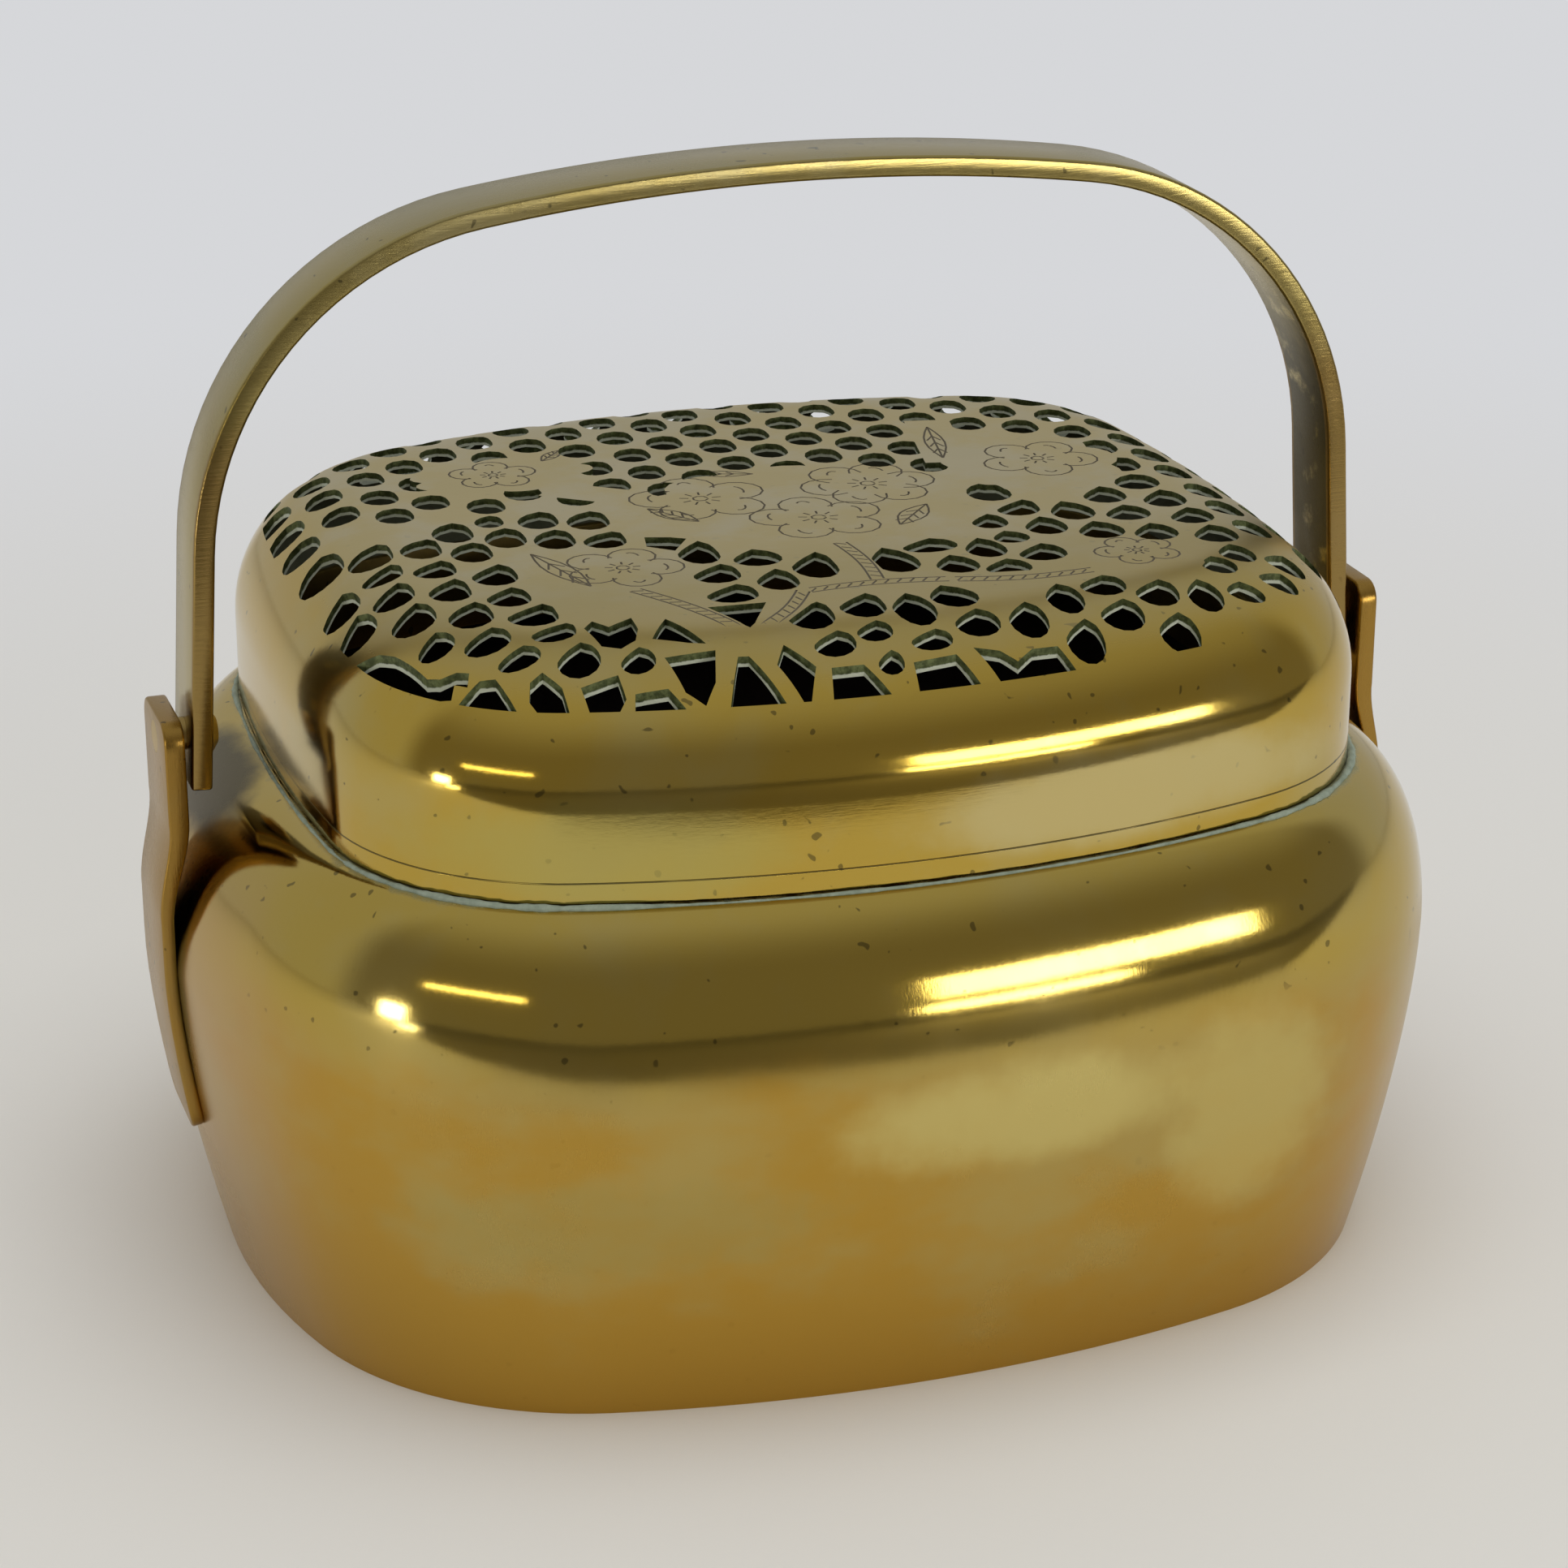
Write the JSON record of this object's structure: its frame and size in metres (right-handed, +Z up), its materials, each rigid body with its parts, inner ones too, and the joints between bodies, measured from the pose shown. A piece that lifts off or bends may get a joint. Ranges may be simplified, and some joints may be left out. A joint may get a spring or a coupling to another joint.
{
  "type": "hand warmer with pierced cover",
  "caption": "Brass hand warmer: bulbous oblong vessel for hot charcoal, lift-off cover pierced in fish scales around solid flower grounds, flat bar handle swinging between strap lugs.",
  "frame": {"origin": "on the table plane, in the middle of the whole object's footprint, handle upright and cover on", "axes": "+Z up; +X along the vessel's length, from the left lug to the right lug; -Y towards the front"},
  "size_m": [0.1626, 0.1344, 0.1358],
  "materials": {
    "vessel_brass": "old brass, mottled brown and grey gold, worn smooth",
    "base_brass": "old brass, dull and scuffed",
    "collar_brass": "old brass, rubbed by the cover",
    "cover_brass": "old brass, pale gold with green tarnish in the corners and the piercing",
    "handle_brass": "old brass bar, rubbed bright in streaks along its length",
    "lug_brass": "old brass strap, tarnished green at its contacts",
    "pin_brass": "old brass rivet, dark"
  },
  "bodies": {
    "vessel": {"vessel": "vessel_brass", "base_plate": "base_brass", "mouth_collar": "collar_brass", "lug_right": "lug_brass", "lug_left": "lug_brass", "pivot_pin_right": "pin_brass", "pivot_pin_left": "pin_brass"},
    "cover": {"pierced_cover": "cover_brass"},
    "handle": {"handle": "handle_brass"}
  },
  "joints": [
    {"name": "handle_swing", "type": "hinge", "parent": "vessel", "child": "handle", "pos_m": [0, 0, 0.07], "axis": [1, 0, 0], "range_deg": [-93, 93]},
    {"name": "cover_lift", "type": "slide", "parent": "vessel", "child": "cover", "axis": [0, 0, 1], "range_m": [0, 0.03]}
  ]
}
